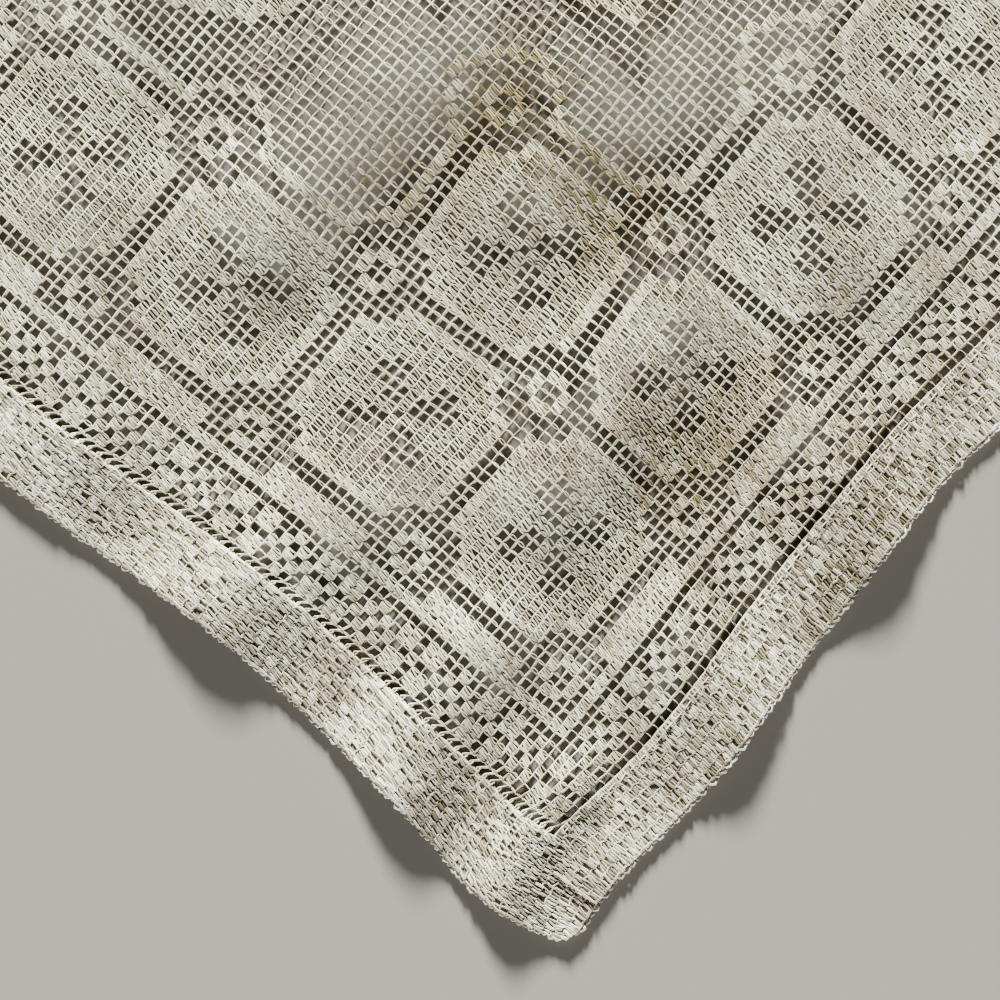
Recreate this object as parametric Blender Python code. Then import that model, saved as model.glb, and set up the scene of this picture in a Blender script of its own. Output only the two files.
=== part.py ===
"""A table runner of machine-made filet lace: one cotton net cloth with its hem woven on, lying softly rumpled.

The runner is long in X and wide in Y, its underside touches z = 0, and its origin is the middle of that underside.
Every place on the cloth is counted in net cells from its nearest edges, so the hem, the border and the panels
stay on their cells whatever the pitch of the net.
"""

import math

import bmesh
import bpy
import numpy as np

# The net and its pattern, counted in cells
PITCH = 0.0025
REPEAT = 19
PANELS_LONG = 14
PANELS_WIDE = 6
FIRST_JUNCTION = 18  # from the outer edge to the middle of the first open band
CORNER_ROUND = 2
HEM_CELLS = 7
BORDER_FROM = 8
BORDER_TO = 13
DENSE_LINES_MIDDLE = 15.5
BAND_TO_PANEL_FLAT = 4
PANEL_MIDDLE = 9.5

CELLS_LONG = 2 * FIRST_JUNCTION + REPEAT * PANELS_LONG
CELLS_WIDE = 2 * FIRST_JUNCTION + REPEAT * PANELS_WIDE
LENGTH = CELLS_LONG * PITCH
WIDTH = CELLS_WIDE * PITCH

# Thicknesses of the cloth
NET_THICK = 0.0012
PANEL_THICK = 0.0016
HEM_THICK = 0.0022

# How far the folds have to rise before the cloth leaves the table plane
SETTLE = 0.0007

# The folds: soft ridges between two points, each point measured from the +X end and from the -Y side.
# Columns: end_1, side_1, end_2, side_2, half_width, height
FOLDS = (
    (0.020, 0.000, 0.026, 0.024, 0.011, 0.0036),
    (0.060, -0.004, 0.066, 0.038, 0.015, 0.0050),
    (0.122, -0.004, 0.110, 0.046, 0.017, 0.0052),
    (0.078, 0.078, 0.082, 0.124, 0.018, 0.0062),
    (-0.004, 0.061, 0.030, 0.066, 0.015, 0.0042),
    (-0.004, 0.116, 0.036, 0.126, 0.017, 0.0046),
    (0.122, 0.130, 0.124, 0.162, 0.018, 0.0060),
    (0.168, 0.086, 0.162, 0.140, 0.018, 0.0062),
    (0.172, 0.020, 0.205, 0.052, 0.020, 0.0044),
    (0.060, 0.166, 0.100, 0.190, 0.022, 0.0060),
    (0.222, 0.106, 0.240, 0.160, 0.022, 0.0046),
    (0.020, 0.262, 0.074, 0.306, 0.022, 0.0042),
    (0.128, 0.262, 0.150, 0.342, 0.022, 0.0050),
    (0.226, 0.250, 0.262, 0.318, 0.024, 0.0044),
    (0.282, 0.040, 0.316, 0.112, 0.022, 0.0046),
    (0.452, 0.236, 0.500, 0.300, 0.024, 0.0050),
    (0.470, 0.060, 0.520, 0.122, 0.022, 0.0044),
    (0.590, 0.120, 0.612, 0.214, 0.024, 0.0050),
    (0.640, 0.290, 0.702, 0.322, 0.022, 0.0042),
    (0.676, 0.060, 0.722, 0.110, 0.022, 0.0044),
)

# The pulls: places where the cloth is drawn sideways in its own plane.
# Columns: end, side, pull_x, pull_y, reach
PULLS = (
    (0.000, 0.010, -0.0060, 0.0000, 0.030),
    (0.000, 0.080, -0.0050, 0.0000, 0.050),
    (0.000, 0.135, -0.0050, 0.0000, 0.035),
    (0.025, 0.000, 0.0000, -0.0060, 0.025),
    (0.018, 0.018, -0.0025, 0.0015, 0.015),
    (0.115, 0.000, 0.0000, 0.0035, 0.035),
    (0.090, 0.090, 0.0025, 0.0020, 0.035),
    (0.145, 0.070, 0.0015, -0.0010, 0.035),
    (0.400, 0.000, 0.0000, 0.0020, 0.060),
    (0.330, 0.375, 0.0000, -0.0025, 0.070),
    (0.738, 0.368, 0.0000, 0.0056, 0.040),
    (0.755, 0.240, 0.0030, 0.0000, 0.060),
)


def axis_lines(panels):
    """The places, in cells, of the grid lines across the cloth on one axis."""
    half_edge = (0, CORNER_ROUND, HEM_CELLS, BORDER_FROM, BORDER_TO, DENSE_LINES_MIDDLE)
    lines = list(half_edge)
    for k in range(panels):
        junction = FIRST_JUNCTION + REPEAT * k
        far_flat = REPEAT - BAND_TO_PANEL_FLAT
        lines += [junction, junction + BAND_TO_PANEL_FLAT, junction + PANEL_MIDDLE, junction + far_flat]
    total = 2 * FIRST_JUNCTION + REPEAT * panels
    lines.append(total - FIRST_JUNCTION)
    lines += [total - cells for cells in reversed(half_edge)]
    return lines


def from_edge(line, total):
    """Cells from the nearer edge."""
    return min(line, total - line)


def is_junction(line, total):
    """Whether a line runs along the middle of an open band."""
    inner = from_edge(line, total) >= FIRST_JUNCTION
    return inner and (line - FIRST_JUNCTION) % REPEAT == 0


def thickness(i, j):
    """The cloth's thickness where grid lines i (from the end) and j (from the side) cross."""
    edge = min(from_edge(i, CELLS_LONG), from_edge(j, CELLS_WIDE))
    if edge <= HEM_CELLS:
        return HEM_THICK
    if edge < DENSE_LINES_MIDDLE:
        return NET_THICK
    if is_junction(i, CELLS_LONG) or is_junction(j, CELLS_WIDE):
        return NET_THICK
    return PANEL_THICK


def rise(end, side):
    """The height of the cloth's underside above the table plane."""
    height = 0.0
    for end_1, side_1, end_2, side_2, half_width, top in FOLDS:
        run_end = end_2 - end_1
        run_side = side_2 - side_1
        share = ((end - end_1) * run_end + (side - side_1) * run_side) / (run_end**2 + run_side**2)
        share = min(max(share, 0.0), 1.0)
        away = math.hypot(end - end_1 - share * run_end, side - side_1 - share * run_side)
        height += top * math.exp(-((away / half_width) ** 2))
    return max(height - SETTLE, 0.0)


def drawn(end, side):
    """How far the pulls move a place of the cloth in X and Y."""
    move = np.zeros(2)
    for pull_end, pull_side, pull_x, pull_y, reach in PULLS:
        away = math.hypot(end - pull_end, side - pull_side)
        move += np.array((pull_x, pull_y)) * math.exp(-((away / reach) ** 2))
    return move


def rounded(i, j):
    """Cells from the end and from the side, with each corner of the cloth drawn onto its round."""
    if from_edge(i, CELLS_LONG) > 0 or from_edge(j, CELLS_WIDE) > 0:
        return i, j
    inset = CORNER_ROUND * (1 - math.sqrt(0.5))
    return (i + (inset if i == 0 else -inset), j + (inset if j == 0 else -inset))


def underside(i, j):
    """The point of the cloth's underside at grid lines i and j."""
    i, j = rounded(i, j)
    end = i * PITCH
    side = j * PITCH
    move_x, move_y = drawn(end, side)
    return LENGTH / 2 - end + move_x, side - WIDTH / 2 + move_y, rise(end, side)


def cloth_mesh():
    """The sheet: an upper and a lower grid on the same lines, joined by a rim."""
    along = axis_lines(PANELS_LONG)
    across = axis_lines(PANELS_WIDE)
    bm = bmesh.new()
    low = {}
    high = {}
    for i in along:
        for j in across:
            x, y, z = underside(i, j)
            low[i, j] = bm.verts.new((x, y, z))
            high[i, j] = bm.verts.new((x, y, z + thickness(i, j)))
    for i, i_next in zip(along, along[1:]):
        for j, j_next in zip(across, across[1:]):
            ring = [(i, j), (i, j_next), (i_next, j_next), (i_next, j)]
            if is_junction(i, CELLS_LONG) == is_junction(j, CELLS_WIDE):
                ring = ring[1:] + ring[:1]
            for first, second, third in (ring[:3], ring[2:] + ring[:1]):
                bm.faces.new((high[first], high[second], high[third]))
                bm.faces.new((low[third], low[second], low[first]))
    rim = [(i, across[0]) for i in along]
    rim += [(along[-1], j) for j in across[1:]]
    rim += [(i, across[-1]) for i in reversed(along[:-1])]
    rim += [(along[0], j) for j in reversed(across[1:-1])]
    for place, following in zip(rim, rim[1:] + rim[:1]):
        bm.faces.new((low[place], low[following], high[following], high[place]))
    bmesh.ops.recalc_face_normals(bm, faces=bm.faces)
    mesh = bpy.data.meshes.new("lace_cloth")
    bm.to_mesh(mesh)
    bm.free()
    return mesh


def cotton():
    """Unbleached cotton."""
    material = bpy.data.materials.new("cream_cotton")
    material.use_nodes = True
    shader = material.node_tree.nodes["Principled BSDF"]
    shader.inputs["Base Color"].default_value = (0.74, 0.69, 0.59, 1.0)
    shader.inputs["Roughness"].default_value = 0.85
    shader.inputs["Metallic"].default_value = 0.0
    return material


def main():
    for left_over in list(bpy.data.objects):
        bpy.data.objects.remove(left_over, do_unlink=True)
    mesh = cloth_mesh()
    mesh.materials.append(cotton())
    cloth = bpy.data.objects.new("lace_cloth", mesh)
    bpy.context.scene.collection.objects.link(cloth)


main()
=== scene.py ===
"""The looks of a table runner of machine-made filet lace.

The cloth is worked thread by thread: straight warps that run across the runner, fine paired rungs between
them, closer rungs where a cell is filled, and a dense doubled hem. Places are counted in net cells from the
runner's +X end and -Y side, and every thread is laid on the cloth's folds.
"""

import math

import bpy
import numpy as np
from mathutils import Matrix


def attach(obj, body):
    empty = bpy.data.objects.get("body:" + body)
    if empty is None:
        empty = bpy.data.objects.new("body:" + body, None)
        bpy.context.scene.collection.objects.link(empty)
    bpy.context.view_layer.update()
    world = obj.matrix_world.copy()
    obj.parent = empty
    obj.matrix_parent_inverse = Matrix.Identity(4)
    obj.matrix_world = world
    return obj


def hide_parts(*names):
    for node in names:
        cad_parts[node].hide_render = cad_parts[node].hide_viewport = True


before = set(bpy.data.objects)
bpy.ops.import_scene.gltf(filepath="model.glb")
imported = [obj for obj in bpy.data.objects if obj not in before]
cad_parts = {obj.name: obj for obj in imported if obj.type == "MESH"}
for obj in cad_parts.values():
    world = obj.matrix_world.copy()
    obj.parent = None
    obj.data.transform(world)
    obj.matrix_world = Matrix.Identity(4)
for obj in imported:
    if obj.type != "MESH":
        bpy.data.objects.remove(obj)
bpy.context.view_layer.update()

# The net and its pattern, counted in cells
PITCH = 0.0025
REPEAT = 19
PANELS_LONG = 14
PANELS_WIDE = 6
PANEL_CELLS = 17
FIRST_JUNCTION = 18
HEM_CELLS = 7
BORDER_FROM = 8
BORDER_TO = 13
DENSE_FROM = 14
BAND_FROM = 17
CORNER_ROUND = 2.0
CELLS_LONG = 2 * FIRST_JUNCTION + REPEAT * PANELS_LONG
CELLS_WIDE = 2 * FIRST_JUNCTION + REPEAT * PANELS_WIDE
LENGTH = CELLS_LONG * PITCH
WIDTH = CELLS_WIDE * PITCH

# What fills a cell of the net
OPEN, LADDER, DENSE, HEM = range(4)

# The border's rows, from the runner's edge inwards, and the phase at which they meet the corner
BORDER_ROWS = ("..#..", ".#.#.", "#.#.#", ".#.#.", "..#..", "##.##", "##.##", "..#..", "##.##", "##.##")
BORDER_PHASE = 17

# The panel's open star, as cells from the panel's middle, the same in its four quarters
STAR = ((1, 1), (2, 1), (1, 2), (2, 2), (3, 2), (4, 2), (2, 3), (3, 3), (4, 3), (2, 4), (3, 4))

# The middle cartouche: from this many cells past the first junction it reaches this far from the middle line
CARTOUCHE = ((33, 6), (37, 7), (44, 10), (50, 14), (55, 18), (59, 26), (61, 28), (63, 29), (65, 30), (67, 31))

# The folds, as in the solid: end_1, side_1, end_2, side_2, half_width, height
FOLDS = (
    (0.020, 0.000, 0.026, 0.024, 0.011, 0.0036),
    (0.060, -0.004, 0.066, 0.038, 0.015, 0.0050),
    (0.122, -0.004, 0.110, 0.046, 0.017, 0.0052),
    (0.078, 0.078, 0.082, 0.124, 0.018, 0.0062),
    (-0.004, 0.061, 0.030, 0.066, 0.015, 0.0042),
    (-0.004, 0.116, 0.036, 0.126, 0.017, 0.0046),
    (0.122, 0.130, 0.124, 0.162, 0.018, 0.0060),
    (0.168, 0.086, 0.162, 0.140, 0.018, 0.0062),
    (0.172, 0.020, 0.205, 0.052, 0.020, 0.0044),
    (0.060, 0.166, 0.100, 0.190, 0.022, 0.0060),
    (0.222, 0.106, 0.240, 0.160, 0.022, 0.0046),
    (0.020, 0.262, 0.074, 0.306, 0.022, 0.0042),
    (0.128, 0.262, 0.150, 0.342, 0.022, 0.0050),
    (0.226, 0.250, 0.262, 0.318, 0.024, 0.0044),
    (0.282, 0.040, 0.316, 0.112, 0.022, 0.0046),
    (0.452, 0.236, 0.500, 0.300, 0.024, 0.0050),
    (0.470, 0.060, 0.520, 0.122, 0.022, 0.0044),
    (0.590, 0.120, 0.612, 0.214, 0.024, 0.0050),
    (0.640, 0.290, 0.702, 0.322, 0.022, 0.0042),
    (0.676, 0.060, 0.722, 0.110, 0.022, 0.0044),
)
SETTLE = 0.0007

# The pulls in the cloth's own plane, as in the solid: end, side, pull_x, pull_y, reach
PULLS = (
    (0.000, 0.010, -0.0060, 0.0000, 0.030),
    (0.000, 0.080, -0.0050, 0.0000, 0.050),
    (0.000, 0.135, -0.0050, 0.0000, 0.035),
    (0.025, 0.000, 0.0000, -0.0060, 0.025),
    (0.018, 0.018, -0.0025, 0.0015, 0.015),
    (0.115, 0.000, 0.0000, 0.0035, 0.035),
    (0.090, 0.090, 0.0025, 0.0020, 0.035),
    (0.145, 0.070, 0.0015, -0.0010, 0.035),
    (0.400, 0.000, 0.0000, 0.0020, 0.060),
    (0.330, 0.375, 0.0000, -0.0025, 0.070),
    (0.738, 0.368, 0.0000, 0.0056, 0.040),
    (0.755, 0.240, 0.0030, 0.0000, 0.060),
)

# Painted shade: the thread is coloured browner and darker around these places, in the troughs beside the
# folds and on stretches of the hems. Columns: end, side, reach, depth
PAINTED_SHADE_SPOTS = (
    (0.060, 0.112, 0.016, 0.26),
    (0.052, 0.092, 0.014, 0.24),
    (0.106, 0.138, 0.016, 0.40),
    (0.140, 0.140, 0.018, 0.46),
    (0.150, 0.108, 0.014, 0.34),
    (0.045, 0.004, 0.013, 0.16),
    (0.090, 0.010, 0.009, 0.14),
    (0.006, 0.100, 0.012, 0.20),
    (0.006, 0.050, 0.012, 0.20),
    (0.008, 0.125, 0.040, 0.24),
    (0.140, 0.184, 0.030, 0.24),
    (0.300, 0.120, 0.030, 0.20),
    (0.480, 0.230, 0.032, 0.22),
    (0.600, 0.150, 0.034, 0.20),
)

# Thread sizes, as shares of a cell
WARP_RADIUS = 0.165
RUNG_RADIUS = 0.080
LADDER_RADIUS = 0.112
DENSE_RADIUS = 0.138
FAR_RUNG_RADIUS = 0.105
FAR_LADDER_RADIUS = 0.17
FAR_DENSE_RADIUS = 0.27
HEM_WARP_RADIUS = 0.165
HEM_RUNG_RADIUS = 0.170
ROLL_RADIUS = 0.17
EDGE_LOOP_THREAD = 0.105
STITCH_THREAD = 0.060

# Where the closer rungs of a filled cell lie across it, as shares of the cell
LADDER_PLACES = (0.36, 0.64)
DENSE_PLACES = (0.28, 0.5, 0.72)
FAR_FILL_PLACES = (0.25, 0.75)

# The hem's rungs: their place across the cell, and the share of the cells that have one there
HEM_RUNGS = ((0.02, 1.0), (0.26, 0.96), (0.50, 0.75), (0.76, 0.96))

# How the first open row beside the side hem is drawn askew, in cells
HEM_SHEAR = 1.1

# The open columns whose rungs are thin and slack, counted from the end, and how thin they are
SLACK_COLUMNS = (HEM_CELLS, BORDER_TO)
SLACK = 0.5

# Heights above the folds' underside
WARP_HEIGHT = 0.00042
RUNG_HEIGHT = 0.00058
HEM_SLAB_LOW = 0.0001
HEM_SLAB_HIGH = 0.0011
HEM_THREAD_HEIGHT = 0.00125
ROLL_HEIGHT = 0.00105
SIDE_HEM_LIFT = 0.00025
RUNG_BOW = 0.00018

# The outer edge's loops and the machine stitches, in cells
LOOP_STEP = 0.7
LOOP_BEND_RADIUS = 0.34
LOOP_BEND_ANGLE = math.radians(240.0)
LOOP_TILT = 0.35
STITCH_STEP = 1.3
STITCH_BEND_RADIUS = 1.1

# The stretch of cloth that is worked in full: the corner that is seen from close by
CLOSE_UP_LIMIT = 92.0
CLOSE_RIGHT_LIMIT = 43.0
CLOSE_END_LIMIT = 98

# Where the camera looks and how it is turned
LOOK_AT_CELLS = (33.4, 27.35)
CAMERA_TURN = math.radians(38.83)
CAMERA_DISTANCE = 0.45
VIEW_WIDTH = 93.1 * PITCH
SENSOR = 36.0

# The floor, the room's light and the two lamps: name, azimuth, elevation and spread in degrees, power
FLOOR_HALF = 200.0
FLOOR_LEVEL = -0.0002
FLOOR_COLOUR = (0.37, 0.352, 0.318)
ROOM_LIGHT = 0.05
LIGHTS = (
    ("key", 136.0, 17.0, 9.0, 7.8),
    ("fill", -40.0, 17.0, 16.0, 3.0),
)
EXPOSURE = 0.1

random = np.random.default_rng(19)


def chart():
    """What fills each cell, by its place from the end and from the side."""
    end, side = np.meshgrid(np.arange(CELLS_LONG), np.arange(CELLS_WIDE), indexing="ij")
    from_end = np.minimum(end, CELLS_LONG - 1 - end)
    from_side = np.minimum(side, CELLS_WIDE - 1 - side)
    edge = np.minimum(from_end, from_side)
    cells = np.full(edge.shape, OPEN)

    across = np.where(from_end < from_side, from_end, from_side) - BORDER_FROM
    along = np.where(from_end < from_side, from_side, from_end)
    rows = np.array([[mark == "#" for mark in row] for row in BORDER_ROWS])
    in_border = (edge >= BORDER_FROM) & (edge < BORDER_TO)
    step = (BORDER_PHASE - along) % len(BORDER_ROWS)
    cells[in_border & rows[step, np.clip(across, 0, 4)]] = DENSE
    cells[(edge >= DENSE_FROM) & (edge < BAND_FROM)] = DENSE

    panel = np.zeros(edge.shape, bool)
    bands = np.zeros(edge.shape, bool)
    field = edge >= FIRST_JUNCTION + REPEAT + 1
    for k in range(PANELS_LONG):
        for m in range(PANELS_WIDE):
            if not is_panel(k, m):
                continue
            a = FIRST_JUNCTION + 1 + REPEAT * k
            b = FIRST_JUNCTION + 1 + REPEAT * m
            bands[a - 2:a + PANEL_CELLS + 2, b - 2:b + PANEL_CELLS + 2] = True
            panel[a:a + PANEL_CELLS, b:b + PANEL_CELLS] = True
    cells[panel] = LADDER
    for k in range(PANELS_LONG):
        for m in range(PANELS_WIDE):
            if is_panel(k, m):
                a = FIRST_JUNCTION + 1 + REPEAT * k
                b = FIRST_JUNCTION + 1 + REPEAT * m
                work_panel(cells, a, b)

    clear = bands & ~panel
    junctions = [
        (FIRST_JUNCTION + REPEAT * k, FIRST_JUNCTION + REPEAT * m)
        for k in range(PANELS_LONG + 1)
        for m in range(PANELS_WIDE + 1)
        if any(is_panel(k - p, m - q) for p in (0, 1) for q in (0, 1))
    ]
    rosettes = np.zeros(edge.shape, bool)
    for a, b in junctions:
        octagon = np.ones((8, 8), bool)
        octagon[[0, 0, 7, 7], [0, 7, 0, 7]] = False
        rosettes[a - 4:a + 4, b - 4:b + 4] |= octagon
    rosettes &= edge > DENSE_FROM
    stubs = np.zeros(edge.shape, bool)
    for a, b in junctions:
        if min(a, CELLS_LONG - a, b, CELLS_WIDE - b) > FIRST_JUNCTION:
            stubs[a - 5:a + 5, b - 1:b + 1] = True
            stubs[a - 1:a + 1, b - 5:b + 5] = True
    clear |= rosettes | (stubs & field & ~panel)
    grown = clear.copy()
    grown[1:] |= clear[:-1]
    grown[:-1] |= clear[1:]
    grown[:, 1:] |= clear[:, :-1]
    grown[:, :-1] |= clear[:, 1:]
    cells[grown & ~clear & (edge >= DENSE_FROM)] = DENSE
    cells[clear] = OPEN
    for a, b in junctions:
        for p in (-2, 1):
            cells[a - 1:a + 1, b + p] = DENSE
            cells[a + p, b - 1:b + 1] = DENSE

    work_cartouche(cells)
    cells[edge < HEM_CELLS] = HEM
    return cells


def is_panel(k, m):
    """Whether the octagonal panel of column k and row m is worked."""
    if not (0 <= k < PANELS_LONG and 0 <= m < PANELS_WIDE):
        return False
    k = min(k, PANELS_LONG - 1 - k)
    m = min(m, PANELS_WIDE - 1 - m)
    return k == 0 or m == 0 or (k == 1 and m == 1)


def work_panel(cells, a, b):
    """One panel with its dense outline and its open star."""
    last = PANEL_CELLS - 1
    middle = PANEL_CELLS // 2
    block = cells[a:a + PANEL_CELLS, b:b + PANEL_CELLS]
    block[[0, last], :] = DENSE
    block[:, [0, last]] = DENSE
    block[middle, middle] = OPEN
    for p, q in STAR:
        for p_side in (-p, p):
            for q_side in (-q, q):
                block[middle + p_side, middle + q_side] = OPEN


def work_cartouche(cells):
    """The long plain cartouche in the middle of the field, with stars along its middle line."""
    half_long = CELLS_LONG // 2
    middle = CELLS_WIDE // 2
    inside = np.zeros(cells.shape, bool)
    for start, reach in CARTOUCHE:
        first = FIRST_JUNCTION + start
        inside[first:CELLS_LONG - first, middle - reach:middle + reach] = True
    core = inside.copy()
    core[1:] &= inside[:-1]
    core[:-1] &= inside[1:]
    core[:, 1:] &= inside[:, :-1]
    core[:, :-1] &= inside[:, 1:]
    cells[inside] = DENSE
    cells[core] = LADDER
    for end in range(half_long - 3 * REPEAT - 10, half_long + 3 * REPEAT + 11, REPEAT):
        for row in (-REPEAT, 0, REPEAT):
            for p, q in STAR:
                for p_side in (-p, p):
                    for q_side in (-q, q):
                        cells[end + p_side, middle + row + q_side] = OPEN
    for tip in (FIRST_JUNCTION + 33, CELLS_LONG - FIRST_JUNCTION - 34):
        for side in (-4, -3, 2, 3):
            cells[tip, middle + side] = OPEN


def rise(end, side):
    """The height of the cloth's underside above the table plane, for arrays of places in metres."""
    height = np.zeros(np.shape(end))
    for end_1, side_1, end_2, side_2, half_width, top in FOLDS:
        run_end = end_2 - end_1
        run_side = side_2 - side_1
        share = ((end - end_1) * run_end + (side - side_1) * run_side) / (run_end**2 + run_side**2)
        share = np.clip(share, 0.0, 1.0)
        away = np.hypot(end - end_1 - share * run_end, side - side_1 - share * run_side)
        height += top * np.exp(-((away / half_width) ** 2))
    return np.maximum(height - SETTLE, 0.0)


def lay(a, b, above):
    """Points on the cloth: a cells from the end, b cells from the side, and a height above its underside."""
    a, b, above = np.broadcast_arrays(np.asarray(a, float), b, above)
    a, b = rounded(a, b)
    end = a * PITCH
    side = b * PITCH
    x = LENGTH / 2 - end
    y = side - WIDTH / 2
    for pull_end, pull_side, pull_x, pull_y, reach in PULLS:
        share = np.exp(-(((end - pull_end) ** 2 + (side - pull_side) ** 2) / reach**2))
        x = x + pull_x * share
        y = y + pull_y * share
    return np.stack((x, y, rise(end, side) + above), axis=-1)


def rounded(a, b):
    """Cell places with the cloth's four corners drawn onto their rounds."""
    in_a = np.minimum(a, CELLS_LONG - a)
    in_b = np.minimum(b, CELLS_WIDE - b)
    deep_a = np.clip(CORNER_ROUND - in_a, 0, None)
    deep_b = np.clip(CORNER_ROUND - in_b, 0, None)
    both = (deep_a > 0) & (deep_b > 0)
    share = np.where(both, np.maximum(deep_a, deep_b) / np.maximum(np.hypot(deep_a, deep_b), 1e-6), 1.0)
    move_a = deep_a * (1 - share) * np.where(a < CELLS_LONG / 2, 1, -1)
    move_b = deep_b * (1 - share) * np.where(b < CELLS_WIDE / 2, 1, -1)
    return a + move_a, b + move_b


def close_limit(a):
    """How many cells from the side the fully worked stretch reaches, for a warp a cells from the end."""
    turn_sin = math.sin(CAMERA_TURN)
    turn_cos = math.cos(CAMERA_TURN)
    up = (CLOSE_UP_LIMIT - turn_sin * a) / turn_cos
    right = ((a - FIRST_JUNCTION) * turn_cos + CLOSE_RIGHT_LIMIT) / turn_sin + FIRST_JUNCTION
    reach = np.floor(np.minimum(up, right))
    return np.where(a <= CLOSE_END_LIMIT, np.clip(reach, 0, CELLS_WIDE), 0).astype(int)


def painted_shade_depth(points):
    """How much painted shade darkens the thread at each point."""
    end = LENGTH / 2 - points[..., 0]
    side = points[..., 1] + WIDTH / 2
    depth = np.zeros(end.shape)
    for trough_end, trough_side, reach, most in PAINTED_SHADE_SPOTS:
        depth += most * np.exp(-(((end - trough_end) ** 2 + (side - trough_side) ** 2) / reach**2))
    return depth


class Strands:
    """Thread paths gathered for one piece: points with a radius and a tone, and the edges between them."""

    def __init__(self):
        self.points = []
        self.radius = []
        self.tone = []
        self.edges = []
        self.count = 0

    def add(self, points, radius, tone):
        """Paths of the same number of points each: points is paths by points by 3."""
        paths, length = points.shape[:2]
        if paths == 0:
            return
        self.points.append(points.reshape(-1, 3))
        self.radius.append(np.broadcast_to(radius, (paths, length)).reshape(-1))
        # The tone is uneven at random and is lowered by the painted shade of the troughs.
        self.tone.append((np.broadcast_to(tone, (paths, length)) - painted_shade_depth(points)).reshape(-1))
        first = np.arange(paths * length).reshape(paths, length)
        pairs = np.stack((first[:, :-1], first[:, 1:]), axis=-1).reshape(-1, 2)
        self.edges.append(pairs + self.count)
        self.count += paths * length

    def mesh(self, name):
        mesh = bpy.data.meshes.new(name)
        points = np.concatenate(self.points)
        edges = np.concatenate(self.edges)
        mesh.vertices.add(len(points))
        mesh.vertices.foreach_set("co", points.astype(np.float32).reshape(-1))
        mesh.edges.add(len(edges))
        mesh.edges.foreach_set("vertices", edges.astype(np.int32).reshape(-1))
        for label, values in (("thread_radius", self.radius), ("tone", self.tone)):
            attribute = mesh.attributes.new(label, "FLOAT", "POINT")
            attribute.data.foreach_set("value", np.concatenate(values).astype(np.float32))
        mesh.update()
        return mesh


def new_tree(name, *inputs):
    """An empty geometry tree with its group nodes and named inputs."""
    tree = bpy.data.node_groups.new(name, "GeometryNodeTree")
    tree.interface.new_socket("Geometry", in_out="INPUT", socket_type="NodeSocketGeometry")
    for label, kind in inputs:
        tree.interface.new_socket(label, in_out="INPUT", socket_type=kind)
    tree.interface.new_socket("Geometry", in_out="OUTPUT", socket_type="NodeSocketGeometry")
    entry = tree.nodes.new("NodeGroupInput")
    leave = tree.nodes.new("NodeGroupOutput")
    return tree, entry, leave


def thread_tree():
    """Thickens every path into a closed thread whose radius is stored on its points."""
    tree, entry, leave = new_tree(
        "spin_threads",
        ("Sides", "NodeSocketInt"),
        ("Cell", "NodeSocketFloat"),
        ("Flatness", "NodeSocketFloat"),
        ("Cotton", "NodeSocketMaterial"),
    )
    link = tree.links.new
    curve = tree.nodes.new("GeometryNodeMeshToCurve")
    link(entry.outputs["Geometry"], curve.inputs["Mesh"])
    upright = tree.nodes.new("GeometryNodeSetCurveNormal")
    upright.mode = "Z_UP"
    link(curve.outputs["Curve"], upright.inputs["Curve"])
    stored = tree.nodes.new("GeometryNodeInputNamedAttribute")
    stored.data_type = "FLOAT"
    stored.inputs["Name"].default_value = "thread_radius"
    scale = tree.nodes.new("ShaderNodeMath")
    scale.operation = "MULTIPLY"
    link(stored.outputs["Attribute"], scale.inputs[0])
    link(entry.outputs["Cell"], scale.inputs[1])
    ring = tree.nodes.new("GeometryNodeCurvePrimitiveCircle")
    ring.inputs["Radius"].default_value = 1.0
    link(entry.outputs["Sides"], ring.inputs["Resolution"])
    squash = tree.nodes.new("GeometryNodeTransform")
    shape = tree.nodes.new("ShaderNodeCombineXYZ")
    shape.inputs["X"].default_value = 1.0
    shape.inputs["Z"].default_value = 1.0
    link(entry.outputs["Flatness"], shape.inputs["Y"])
    link(shape.outputs["Vector"], squash.inputs["Scale"])
    link(ring.outputs["Curve"], squash.inputs["Geometry"])
    body = tree.nodes.new("GeometryNodeCurveToMesh")
    body.inputs["Fill Caps"].default_value = True
    link(upright.outputs["Curve"], body.inputs["Curve"])
    link(squash.outputs["Geometry"], body.inputs["Profile Curve"])
    link(scale.outputs["Value"], body.inputs["Scale"])
    finish_tree(tree, entry, leave, body.outputs["Mesh"])
    return tree


def finish_tree(tree, entry, leave, socket):
    """Smooth, realized and given its material."""
    smooth = tree.nodes.new("GeometryNodeSetShadeSmooth")
    real = tree.nodes.new("GeometryNodeRealizeInstances")
    material = tree.nodes.new("GeometryNodeSetMaterial")
    tree.links.new(socket, smooth.inputs["Geometry"])
    tree.links.new(smooth.outputs["Geometry"], real.inputs["Geometry"])
    tree.links.new(real.outputs["Geometry"], material.inputs["Geometry"])
    tree.links.new(entry.outputs["Cotton"], material.inputs["Material"])
    tree.links.new(material.outputs["Geometry"], leave.inputs["Geometry"])


def made_by(tree, mesh, name, **values):
    """The plain mesh that a tree makes of a mesh, as an object at the origin."""
    carrier = bpy.data.objects.new(name + "_paths", mesh)
    bpy.context.scene.collection.objects.link(carrier)
    modifier = carrier.modifiers.new("make", "NODES")
    modifier.node_group = tree
    for item in tree.interface.items_tree:
        if item.item_type == "SOCKET" and item.in_out == "INPUT" and item.name in values:
            modifier[item.identifier] = values[item.name]
    graph = bpy.context.evaluated_depsgraph_get()
    made = bpy.data.meshes.new_from_object(carrier.evaluated_get(graph), depsgraph=graph)
    made.name = name
    bpy.data.objects.remove(carrier, do_unlink=True)
    piece = bpy.data.objects.new(name, made)
    bpy.context.scene.collection.objects.link(piece)
    return piece


def jitter(shape, amount):
    return random.uniform(-amount, amount, shape)


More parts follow.
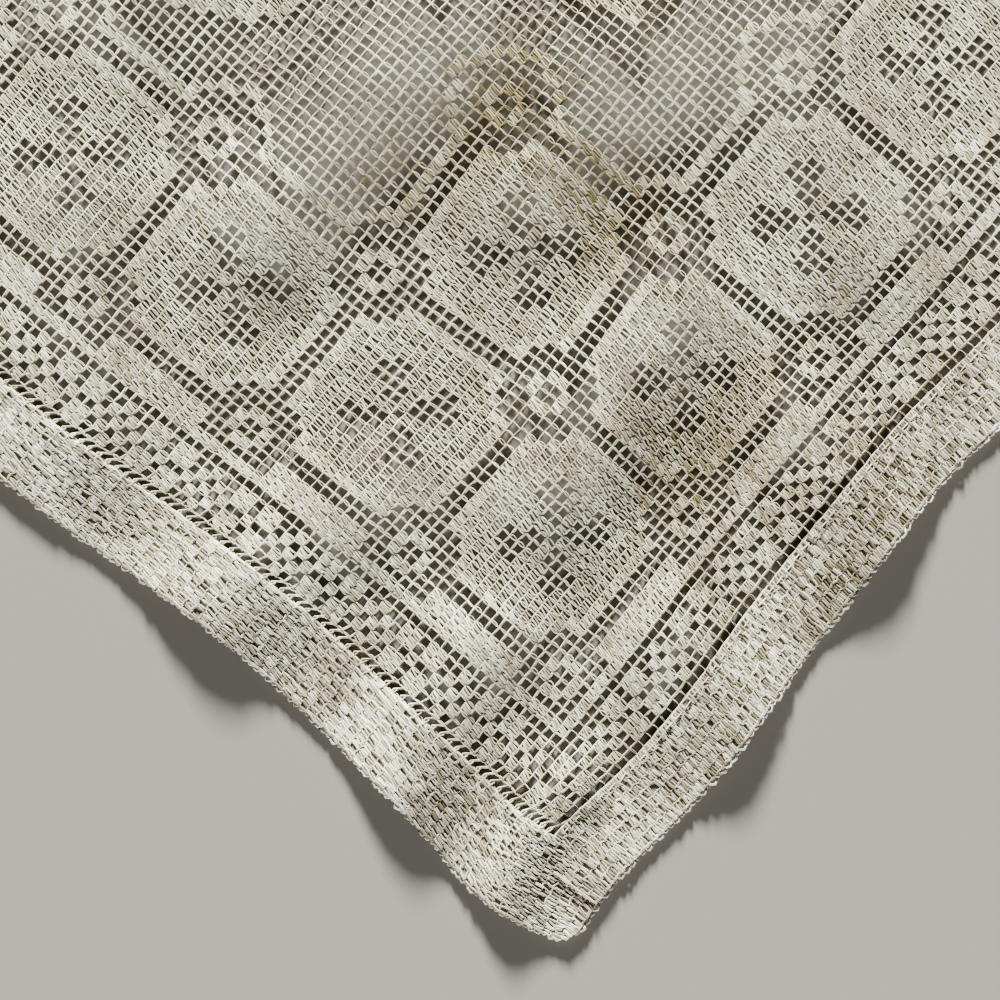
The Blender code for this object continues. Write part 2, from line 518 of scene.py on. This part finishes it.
def hem_lift(a, b):
    """How far the side hems stand above the end hems that they lap over."""
    return np.where(np.minimum(b, CELLS_WIDE - b) < HEM_CELLS, SIDE_HEM_LIFT, 0.0)


def askew(b):
    """The sideways draw of a warp where it dives under the near side hem, in cells."""
    return HEM_SHEAR * np.clip(HEM_CELLS + 1.3 - b, 0.0, 1.0)


def close_warps(strands):
    """Each warp of the fully worked stretch, a little uneven from rung to rung."""
    for a in range(HEM_CELLS, CELLS_LONG):
        reach = int(close_limit(a))
        if reach < HEM_CELLS:
            continue
        b = np.concatenate(([HEM_CELLS - 0.4, HEM_CELLS + 0.3], np.arange(HEM_CELLS + 1, reach + 1)))
        sway = jitter(b.shape, 0.045) + 0.03 * np.where((np.arange(len(b)) + a) % 2, 1, -1)
        height = WARP_HEIGHT + jitter(b.shape, 0.00006)
        radius = WARP_RADIUS * (1 + jitter(b.shape, 0.14))
        height = np.maximum(height, radius * PITCH)
        points = lay(a + sway + askew(b), b, height)
        strands.add(points[None], radius[None], 0.58 + jitter((1, len(b)), 0.30))


def hem_warps(strands):
    """The wavering warps of the doubled hem near the corner, bright and dull by turns."""
    for a in range(CELLS_LONG):
        reach = int(close_limit(a)) + 2
        if reach < 3:
            continue
        top = reach if a < HEM_CELLS else HEM_CELLS
        b = np.arange(0.1, top, 0.5)
        sway = 0.09 * np.where(np.arange(len(b)) % 2, 1, -1) + jitter(b.shape, 0.05)
        height = HEM_THREAD_HEIGHT + jitter(b.shape, 0.00012) + hem_lift(a, b)
        radius = HEM_WARP_RADIUS * (1 + jitter(b.shape, 0.3))
        points = lay(np.clip(a + 0.1 + sway, 0.1, None), b, height)
        strands.add(points[None], radius[None], 0.66 + jitter((1, len(b)), 0.38))


def far_warps(strands):
    """The rest of each warp, with a point at every other rung."""
    for a in range(1, CELLS_LONG):
        start = int(close_limit(a))
        b = np.unique(np.append(np.arange(start, CELLS_WIDE, 2), CELLS_WIDE)).astype(float)
        near_end = min(a, CELLS_LONG - a) < HEM_CELLS
        in_hem = (np.minimum(b, CELLS_WIDE - b) < HEM_CELLS) | near_end
        height = np.where(in_hem, HEM_THREAD_HEIGHT, WARP_HEIGHT)
        sway = jitter(b.shape, 1.0) * np.where(in_hem, 0.2, 0.05)
        points = lay(a + sway, b, height)
        strands.add(points[None], WARP_RADIUS, 0.55 + jitter((1, len(b)), 0.2))


def rung_paths(a, b, lean, arch, height, share=(0.0, 0.32, 0.68, 1.0)):
    """Short threads from warp a + 1 to warp a: their ends lean up to the right and their middle arches."""
    share = np.array(share)
    bow = 4 * share * (1 - share)
    across = a[:, None] + 1 - share
    along = b[:, None] + lean[:, None] * (share - 0.5) * 2 + arch[:, None] * bow
    return lay(across, along, height + RUNG_BOW * bow)


def close_rungs(cells, side, strands):
    """One of each pair of rungs of the fully worked stretch: side is -1 for the outer, 1 for the inner."""
    a, b = np.meshgrid(np.arange(CELLS_LONG), np.arange(1, CELLS_WIDE), indexing="ij")
    a = a.reshape(-1)
    b = b.reshape(-1)
    edge = np.minimum(np.minimum(a, CELLS_LONG - 1 - a), np.minimum(b, CELLS_WIDE - b))
    keep = (b <= close_limit(a)) & (edge >= HEM_CELLS)
    a = a[keep].astype(float)
    b = b[keep].astype(float)
    slack = np.where(np.isin(a, SLACK_COLUMNS), SLACK, 1.0)
    lean = jitter(a.shape, 0.08) - 0.03
    split = (0.085 + jitter(a.shape, 0.05)) * slack
    arch = 0.05 + jitter(a.shape, 0.07)
    tone = 0.70 + jitter((len(a), 1), 0.28)
    radius = RUNG_RADIUS * (1 + jitter((len(a), 1), 0.2)) * slack[:, None]
    strands.add(rung_paths(a, b, lean, arch + side * split, RUNG_HEIGHT), radius, tone)


def close_fill(cells, kind, places, thickness, strands):
    """The closer rungs of the filled cells of one kind."""
    a, b = np.nonzero(cells == kind)
    keep = b < close_limit(a)
    a = a[keep].astype(float)
    b = b[keep].astype(float)
    for place in places:
        lean = jitter(a.shape, 0.08) - 0.11
        arch = jitter(a.shape, 0.08)
        radius = thickness * (1 + jitter((len(a), 1), 0.25))
        spot = b + place + jitter(a.shape, 0.04)
        paths = rung_paths(a, spot, lean, arch, RUNG_HEIGHT + 0.00004, (0.0, 0.5, 1.0))
        strands.add(paths, radius, 0.62 + jitter((len(a), 1), 0.34))


def runs(row):
    """The start and end of each unbroken stretch of a row of true and false."""
    steps = np.flatnonzero(np.diff(np.concatenate(([0], row.astype(np.int8), [0]))))
    return zip(steps[::2], steps[1::2])


def far_rungs(cells, strands):
    """One thread for each rung line across the open cells away from the close stretch."""
    limit = close_limit(np.arange(CELLS_LONG))
    for b in range(HEM_CELLS + 1, CELLS_WIDE - HEM_CELLS):
        row = ((cells[:, b] == OPEN) | (cells[:, b - 1] == OPEN)) & (b > limit)
        for start, end in runs(row):
            a = np.arange(start, end + 1, dtype=float)
            zigzag = 0.06 * np.where((np.arange(len(a)) + b) % 2, 1, -1) + jitter(a.shape, 0.04)
            points = lay(a, b + zigzag, RUNG_HEIGHT)
            strands.add(points[None], FAR_RUNG_RADIUS, 0.5 + jitter((1, len(a)), 0.2))


def far_fill(cells, kind, places, thickness, strands):
    """Flat bands of close rungs over the filled cells away from the close stretch."""
    limit = close_limit(np.arange(CELLS_LONG))
    for b in range(CELLS_WIDE):
        row = (cells[:, b] == kind) & (b >= limit)
        for start, end in runs(row):
            a = np.unique(np.append(np.arange(start, end, 2), end)).astype(float)
            for place in places:
                points = lay(a, b + place + jitter(a.shape, 0.02), RUNG_HEIGHT)
                strands.add(points[None], thickness, 0.55 + jitter((1, len(a)), 0.2))


def hem_rungs(strands):
    """The close cross threads of the doubled hem near the corner, with a small dark gap in many cells."""
    a, b = np.meshgrid(np.arange(CELLS_LONG), np.arange(CELLS_WIDE), indexing="ij")
    a = a.reshape(-1)
    b = b.reshape(-1)
    keep = (np.minimum(a, b) < HEM_CELLS) & (b < close_limit(a) + 2)
    a = a[keep].astype(float)
    b = b[keep].astype(float)
    for place, share in HEM_RUNGS:
        shown = random.random(len(a)) < share
        ax = a[shown] + jitter(int(shown.sum()), 0.06)
        spot = np.clip(b[shown] + place + jitter(ax.shape, 0.045), 0.02, None)
        lean = jitter(ax.shape, 0.09) - 0.06
        arch = jitter(ax.shape, 0.07)
        radius = HEM_RUNG_RADIUS * (1 + jitter((len(ax), 1), 0.3))
        height = HEM_THREAD_HEIGHT + jitter((len(ax), 1), 0.00014) + hem_lift(ax, spot)[:, None]
        paths = rung_paths(np.clip(ax, 0, None), spot, lean, arch, height, (0.0, 0.5, 1.0))
        strands.add(paths, radius, 0.66 + jitter((len(ax), 1), 0.38))


def far_hem(strands):
    """Wavering threads along the hems away from the close stretch, two to a cell."""
    for line in np.arange(0.3, HEM_CELLS, 0.5):
        for b in (line, CELLS_WIDE - line):
            inset = 0.0 if line < CORNER_ROUND else 0.2
            a = np.arange(inset, CELLS_LONG, 2.2)
            a = a[b >= close_limit(a) + 1]
            add_far_line(strands, a, a * 0 + b)
        for a in (line, CELLS_LONG - line):
            b = np.arange(HEM_CELLS, CELLS_WIDE - HEM_CELLS + 0.1, 2.2)
            b = b[b >= close_limit(a) + 1]
            add_far_line(strands, b * 0 + a, b)


def add_far_line(strands, a, b):
    if len(a) < 2:
        return
    points = lay(a + jitter(a.shape, 0.12), b + jitter(a.shape, 0.14), HEM_THREAD_HEIGHT)
    radius = FAR_RUNG_RADIUS * (1 + jitter((1, len(a)), 0.4))
    strands.add(points[None], radius, 0.55 + jitter((1, len(a)), 0.35))


def hem_rolls(strands):
    """The light rolled ridge along the inner edge of each hem, and the lap of the near corner."""
    for line in (HEM_CELLS - 0.1, CELLS_WIDE - HEM_CELLS + 0.1):
        a = np.arange(HEM_CELLS - 0.5, CELLS_LONG - HEM_CELLS + 1, 0.6)
        height = ROLL_HEIGHT + SIDE_HEM_LIFT + jitter(a.shape, 0.00012)
        points = lay(a, line + jitter(a.shape, 0.12), height)
        radius = ROLL_RADIUS * (1 + jitter((1, len(a)), 0.3))
        strands.add(points[None], radius, 0.62 + jitter((1, len(a)), 0.36))
    for line in (HEM_CELLS - 0.05, CELLS_LONG - HEM_CELLS + 0.05):
        b = np.arange(HEM_CELLS, CELLS_WIDE - HEM_CELLS + 0.5, 0.8)
        height = ROLL_HEIGHT - 0.0001 + jitter(b.shape, 0.00006)
        points = lay(line + jitter(b.shape, 0.05), b, height)
        strands.add(points[None], ROLL_RADIUS * 0.6, 0.6 + jitter((1, len(b)), 0.3))
    a = np.linspace(0.6, HEM_CELLS, 9)
    points = lay(a, HEM_CELLS + jitter(9, 0.08), HEM_THREAD_HEIGHT + 0.5 * SIDE_HEM_LIFT)
    strands.add(points[None], 0.10, 0.2 + jitter((1, 9), 0.2))


def loose_stitch(strands):
    """The one long slack stitch across the lapped corner."""
    a = np.linspace(4.9, 0.2, 7)
    b = np.linspace(4.75, 4.45, 7)
    height = HEM_THREAD_HEIGHT + 0.0010 + 0.0004 * np.sin(np.linspace(0, math.pi, 7))
    strands.add(lay(a, b, height)[None], 0.13, 1.2)


def roll_wraps(strands):
    """Short slanting ends of the warps that pass over the roll of the near side hem."""
    a = np.arange(HEM_CELLS, CELLS_LONG - 1, 1.0)
    lines = np.stack((a + 1.25, a + 1.0, a + 0.75), axis=1)
    across = np.stack((a * 0 + HEM_CELLS - 0.7, a * 0 + HEM_CELLS - 0.15, a * 0 + HEM_CELLS + 0.45), axis=1)
    across = across + jitter(across.shape, 0.08)
    high = np.array((0.00018, 0.00046, -0.00040)) + ROLL_HEIGHT + SIDE_HEM_LIFT
    strands.add(lay(lines + jitter(lines.shape, 0.1), across, high), 0.10, 0.72 + jitter(lines.shape, 0.26))


def hem_slab():
    """The hem's body: a thin closed ring under its threads."""
    def lines(total):
        edge = list(range(0, HEM_CELLS + 1))
        middle = list(range(HEM_CELLS + 2, total - HEM_CELLS - 1, 2))
        return edge + middle + [total - cells for cells in reversed(edge)]

    along = lines(CELLS_LONG)
    across = lines(CELLS_WIDE)
    cross = np.array(across, float)[None]
    lap = np.minimum(cross, CELLS_WIDE - cross) <= HEM_CELLS
    points = lay(np.array(along, float)[:, None], cross, HEM_SLAB_HIGH + np.where(lap, SIDE_HEM_LIFT, 0.0))
    index = np.arange(len(along) * len(across)).reshape(len(along), len(across))
    faces = []
    for i in range(len(along) - 1):
        for j in range(len(across) - 1):
            middle_a = (along[i] + along[i + 1]) / 2
            middle_b = (across[j] + across[j + 1]) / 2
            edge = min(middle_a, CELLS_LONG - middle_a, middle_b, CELLS_WIDE - middle_b)
            if edge < HEM_CELLS:
                faces.append((index[i, j], index[i, j + 1], index[i + 1, j + 1], index[i + 1, j]))
    mesh = bpy.data.meshes.new("hem_body")
    mesh.from_pydata(points.reshape(-1, 3).tolist(), [], faces)
    mesh.update()
    piece = bpy.data.objects.new("hem_body", mesh)
    bpy.context.scene.collection.objects.link(piece)
    wall = piece.modifiers.new("thickness", "SOLIDIFY")
    wall.thickness = HEM_SLAB_HIGH - HEM_SLAB_LOW
    wall.offset = -1.0
    return piece


def arc_tree():
    """Sets the same small bent thread on every point, turned and sized by the point's own values."""
    tree, entry, leave = new_tree(
        "set_bent_threads",
        ("Bend radius", "NodeSocketFloat"),
        ("Bend angle", "NodeSocketFloat"),
        ("Drop", "NodeSocketFloat"),
        ("Tilt", "NodeSocketFloat"),
        ("Thread", "NodeSocketFloat"),
        ("Cotton", "NodeSocketMaterial"),
    )
    link = tree.links.new
    half = tree.nodes.new("ShaderNodeMath")
    half.operation = "MULTIPLY_ADD"
    half.inputs[1].default_value = -0.5
    half.inputs[2].default_value = math.pi / 2
    link(entry.outputs["Bend angle"], half.inputs[0])
    arc = tree.nodes.new("GeometryNodeCurveArc")
    arc.inputs["Resolution"].default_value = 5
    link(entry.outputs["Bend radius"], arc.inputs["Radius"])
    link(half.outputs["Value"], arc.inputs["Start Angle"])
    link(entry.outputs["Bend angle"], arc.inputs["Sweep Angle"])
    lower = tree.nodes.new("ShaderNodeCombineXYZ")
    link(entry.outputs["Drop"], lower.inputs["Z"])
    upright = tree.nodes.new("GeometryNodeTransform")
    tilt = tree.nodes.new("ShaderNodeCombineXYZ")
    link(entry.outputs["Tilt"], tilt.inputs["X"])
    link(tilt.outputs["Vector"], upright.inputs["Rotation"])
    link(lower.outputs["Vector"], upright.inputs["Translation"])
    link(arc.outputs["Curve"], upright.inputs["Geometry"])
    ring = tree.nodes.new("GeometryNodeCurvePrimitiveCircle")
    ring.inputs["Resolution"].default_value = 3
    link(entry.outputs["Thread"], ring.inputs["Radius"])
    body = tree.nodes.new("GeometryNodeCurveToMesh")
    body.inputs["Fill Caps"].default_value = True
    link(upright.outputs["Geometry"], body.inputs["Curve"])
    link(ring.outputs["Curve"], body.inputs["Profile Curve"])
    turn = tree.nodes.new("GeometryNodeInputNamedAttribute")
    turn.data_type = "FLOAT"
    turn.inputs["Name"].default_value = "turn"
    spin = tree.nodes.new("ShaderNodeCombineXYZ")
    link(turn.outputs["Attribute"], spin.inputs["Z"])
    size = tree.nodes.new("GeometryNodeInputNamedAttribute")
    size.data_type = "FLOAT"
    size.inputs["Name"].default_value = "size"
    place = tree.nodes.new("GeometryNodeInstanceOnPoints")
    link(entry.outputs["Geometry"], place.inputs["Points"])
    link(body.outputs["Mesh"], place.inputs["Instance"])
    link(spin.outputs["Vector"], place.inputs["Rotation"])
    link(size.outputs["Attribute"], place.inputs["Scale"])
    finish_tree(tree, entry, leave, place.outputs["Instances"])
    return tree


def points_mesh(name, points, turn, size, tone):
    mesh = bpy.data.meshes.new(name)
    mesh.from_pydata(points.tolist(), [], [])
    for label, values in (("turn", turn), ("size", size), ("tone", tone)):
        attribute = mesh.attributes.new(label, "FLOAT", "POINT")
        attribute.data.foreach_set("value", np.asarray(values, np.float32))
    return mesh


def edge_places():
    """Close places along the four outer edges, and the way that leads off the cloth at each."""
    a = np.arange(CORNER_ROUND, CELLS_LONG - CORNER_ROUND + 0.01, LOOP_STEP)
    b = np.arange(CORNER_ROUND, CELLS_WIDE - CORNER_ROUND + 0.01, LOOP_STEP)
    corner = np.arange(0, 6) / 5 * math.pi / 2
    arc_cos = CORNER_ROUND * np.cos(corner)
    arc_sin = CORNER_ROUND * np.sin(corner)
    stretches = [
        (a, a * 0, a * 0 - math.pi / 2),
        (a, a * 0 + CELLS_WIDE, a * 0 + math.pi / 2),
        (b * 0, b, b * 0),
        (b * 0 + CELLS_LONG, b, b * 0 + math.pi),
        (CORNER_ROUND - arc_cos, CORNER_ROUND - arc_sin, -corner),
        (CORNER_ROUND - arc_cos, CELLS_WIDE - CORNER_ROUND + arc_sin, corner),
        (CELLS_LONG - CORNER_ROUND + arc_cos, CORNER_ROUND - arc_sin, corner - math.pi),
        (CELLS_LONG - CORNER_ROUND + arc_cos, CELLS_WIDE - CORNER_ROUND + arc_sin, math.pi - corner),
    ]
    return [np.concatenate(parts) for parts in zip(*stretches)]


def edge_loops(tree, material):
    """Small loops of thread that wrap the outer edge of the hem."""
    a, b, off = edge_places()
    places = lay(a, b, 0.00095 + jitter(len(a), 0.00022))
    size = 1.0 + jitter(len(a), 0.35)
    turn = off - math.pi / 2 + jitter(len(a), 0.5)
    mesh = points_mesh("edge_loops", places, turn, size, 0.62 + jitter(len(a), 0.36))
    return made_by(
        tree, mesh, "edge_loops", Cotton=material, Thread=EDGE_LOOP_THREAD * PITCH,
        **{
            "Bend radius": LOOP_BEND_RADIUS * PITCH,
            "Bend angle": LOOP_BEND_ANGLE,
            "Drop": 0.0,
            "Tilt": LOOP_TILT,
        },
    )


def sewn_stitches(tree, material):
    """The line of machine stitches along the inner side of both end hems."""
    b = np.arange(HEM_CELLS + 1, CELLS_WIDE - HEM_CELLS - 1, STITCH_STEP)
    a = np.concatenate((b * 0 + HEM_CELLS - 0.5, b * 0 + CELLS_LONG - HEM_CELLS + 0.5))
    a = a + jitter(2 * len(b), 0.05)
    b = np.concatenate((b, b))
    points = lay(a, b, HEM_THREAD_HEIGHT + 0.00025)
    turn = math.pi / 2 + jitter(len(b), 0.12)
    angle = 2 * math.asin(0.5 / STITCH_BEND_RADIUS)
    mesh = points_mesh("stitches", points, turn, 1 + jitter(len(b), 0.08), 0.75 + jitter(len(b), 0.2))
    return made_by(
        tree, mesh, "sewn_stitches", Cotton=material, Thread=STITCH_THREAD * PITCH,
        **{
            "Bend radius": STITCH_BEND_RADIUS * PITCH,
            "Bend angle": angle,
            "Drop": -STITCH_BEND_RADIUS * math.cos(angle / 2) * PITCH,
            "Tilt": math.pi / 2,
        },
    )


def cotton(name, light, shade, deep):
    """Undyed cotton thread: the tone stored on the thread, uneven at random and lowered where shade is
    painted, picks between its light and its shaded colour.
    """
    material = bpy.data.materials.new(name)
    material.use_nodes = True
    nodes = material.node_tree.nodes
    link = material.node_tree.links.new
    shader = nodes["Principled BSDF"]
    place = nodes.new("ShaderNodeTexCoord")
    tone = nodes.new("ShaderNodeAttribute")
    tone.attribute_name = "tone"
    fibre = nodes.new("ShaderNodeTexNoise")
    fibre.inputs["Scale"].default_value = 5200.0
    fibre.inputs["Detail"].default_value = 3.0
    fibre.inputs["Roughness"].default_value = 0.6
    link(place.outputs["Object"], fibre.inputs["Vector"])
    patch = nodes.new("ShaderNodeTexNoise")
    patch.inputs["Scale"].default_value = 60.0
    patch.inputs["Detail"].default_value = 2.0
    link(place.outputs["Object"], patch.inputs["Vector"])
    ramp = nodes.new("ShaderNodeValToRGB")
    ramp.color_ramp.elements[0].position = 0.0
    ramp.color_ramp.elements[0].color = (*deep, 1.0)
    ramp.color_ramp.elements[1].position = 0.85
    ramp.color_ramp.elements[1].color = (*light, 1.0)
    ramp.color_ramp.elements.new(0.38).color = (*shade, 1.0)
    link(tone.outputs["Fac"], ramp.inputs["Fac"])
    dip = nodes.new("ShaderNodeMapRange")
    dip.inputs["From Min"].default_value = 0.35
    dip.inputs["From Max"].default_value = 0.62
    dip.inputs["To Min"].default_value = 0.0
    dip.inputs["To Max"].default_value = 0.35
    link(patch.outputs["Fac"], dip.inputs["Value"])
    stain = nodes.new("ShaderNodeMix")
    stain.data_type = "RGBA"
    stain.inputs["B"].default_value = (*deep, 1.0)
    link(dip.outputs["Result"], stain.inputs["Factor"])
    link(ramp.outputs["Color"], stain.inputs["A"])
    link(stain.outputs["Result"], shader.inputs["Base Color"])
    bump = nodes.new("ShaderNodeBump")
    bump.inputs["Strength"].default_value = 0.5
    bump.inputs["Distance"].default_value = 0.0001
    link(fibre.outputs["Fac"], bump.inputs["Height"])
    link(bump.outputs["Normal"], shader.inputs["Normal"])
    shader.inputs["Roughness"].default_value = 0.82
    shader.inputs["Sheen Weight"].default_value = 0.15
    shader.inputs["Sheen Roughness"].default_value = 0.5
    shader.inputs["Specular IOR Level"].default_value = 0.25
    return material


def plain(name, colour):
    material = bpy.data.materials.new(name)
    material.use_nodes = True
    shader = material.node_tree.nodes["Principled BSDF"]
    shader.inputs["Base Color"].default_value = (*colour, 1.0)
    shader.inputs["Roughness"].default_value = 0.9
    return material


def stage():
    """A plain pale floor, soft studio light and the camera over the runner's corner."""
    scene = bpy.context.scene
    mesh = bpy.data.meshes.new("floor")
    corners = [(x * FLOOR_HALF, y * FLOOR_HALF, FLOOR_LEVEL) for x, y in ((-1, -1), (1, -1), (1, 1), (-1, 1))]
    mesh.from_pydata(corners, [], [(0, 1, 2, 3)])
    floor = bpy.data.objects.new("floor", mesh)
    floor.data.materials.append(plain("pale_floor", FLOOR_COLOUR))
    scene.collection.objects.link(floor)

    world = bpy.data.worlds.new("studio")
    world.use_nodes = True
    world.node_tree.nodes["Background"].inputs["Color"].default_value = (1.0, 0.99, 0.97, 1.0)
    world.node_tree.nodes["Background"].inputs["Strength"].default_value = ROOM_LIGHT
    scene.world = world
    for name, azimuth, elevation, spread, power in LIGHTS:
        light = bpy.data.lights.new(name, "SUN")
        light.angle = math.radians(spread)
        light.energy = power
        lamp = bpy.data.objects.new(name, light)
        lamp.rotation_euler = (math.radians(90.0 - elevation), 0.0, math.radians(azimuth + 90.0))
        scene.collection.objects.link(lamp)

    camera = bpy.data.cameras.new("camera")
    camera.sensor_width = SENSOR
    camera.lens = SENSOR * CAMERA_DISTANCE / VIEW_WIDTH
    eye = bpy.data.objects.new("camera", camera)
    look_x = LENGTH / 2 - LOOK_AT_CELLS[0] * PITCH
    look_y = LOOK_AT_CELLS[1] * PITCH - WIDTH / 2
    eye.location = (look_x, look_y, CAMERA_DISTANCE)
    eye.rotation_euler = (0.0, 0.0, CAMERA_TURN)
    scene.collection.objects.link(eye)
    scene.camera = eye
    scene.view_settings.view_transform = "AgX"
    scene.view_settings.look = "AgX - Very High Contrast"
    scene.view_settings.exposure = EXPOSURE


def main():
    stage()
    cells = chart()
    spin = thread_tree()
    net_cotton = cotton("net_cotton", (0.89, 0.87, 0.75), (0.63, 0.60, 0.46), (0.31, 0.26, 0.15))
    hem_cotton = cotton("hem_cotton", (0.88, 0.86, 0.75), (0.53, 0.50, 0.40), (0.24, 0.20, 0.12))
    # The hem's body is coloured a dark brownish grey: painted shade, seen between the hem's threads.
    under_cotton_painted_shade = cotton("under_cotton_painted_shade", (0.60, 0.57, 0.50), (0.58, 0.55, 0.47), (0.34, 0.31, 0.25))

    pieces = []

    def weave(name, sides, flatness, material, *fillers):
        strands = Strands()
        for filler, arguments in fillers:
            filler(*arguments, strands)
        mesh = strands.mesh(name)
        piece = made_by(spin, mesh, name, Sides=sides, Cell=PITCH, Flatness=flatness, Cotton=material)
        pieces.append(piece)
        return piece

    warps = weave("warps", 3, 1.0, net_cotton, (close_warps, ()), (far_warps, ()))
    weave("outer_rungs", 3, 1.0, net_cotton, (close_rungs, (cells, -1)))
    weave("inner_rungs", 3, 1.0, net_cotton, (close_rungs, (cells, 1)))
    weave("close_ladder", 3, 1.0, net_cotton, (close_fill, (cells, LADDER, LADDER_PLACES, LADDER_RADIUS)))
    weave("close_dense", 3, 1.0, net_cotton, (close_fill, (cells, DENSE, DENSE_PLACES, DENSE_RADIUS)))
    weave("far_rungs", 3, 1.0, net_cotton, (far_rungs, (cells,)))
    weave("far_ladder", 3, 0.5, net_cotton, (far_fill, (cells, LADDER, FAR_FILL_PLACES, FAR_LADDER_RADIUS)))
    weave("far_dense", 3, 0.5, net_cotton, (far_fill, (cells, DENSE, FAR_FILL_PLACES, FAR_DENSE_RADIUS)))
    weave("hem_weave", 3, 1.0, hem_cotton, (hem_warps, ()), (hem_rungs, ()))
    weave("hem_rolls", 5, 1.0, hem_cotton, (hem_rolls, ()))
    weave("far_hem", 3, 1.0, hem_cotton, (far_hem, ()))
    weave("roll_wraps", 3, 1.0, net_cotton, (roll_wraps, ()), (loose_stitch, ()))
    bent = arc_tree()
    pieces.append(edge_loops(bent, hem_cotton))
    pieces.append(sewn_stitches(bent, net_cotton))
    slab = hem_slab()
    # The hem's body takes the dark cotton of painted shade.
    slab.data.materials.append(under_cotton_painted_shade)
    pieces.append(slab)

    for piece in pieces:
        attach(piece, "root")
        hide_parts("lace_cloth")


main()
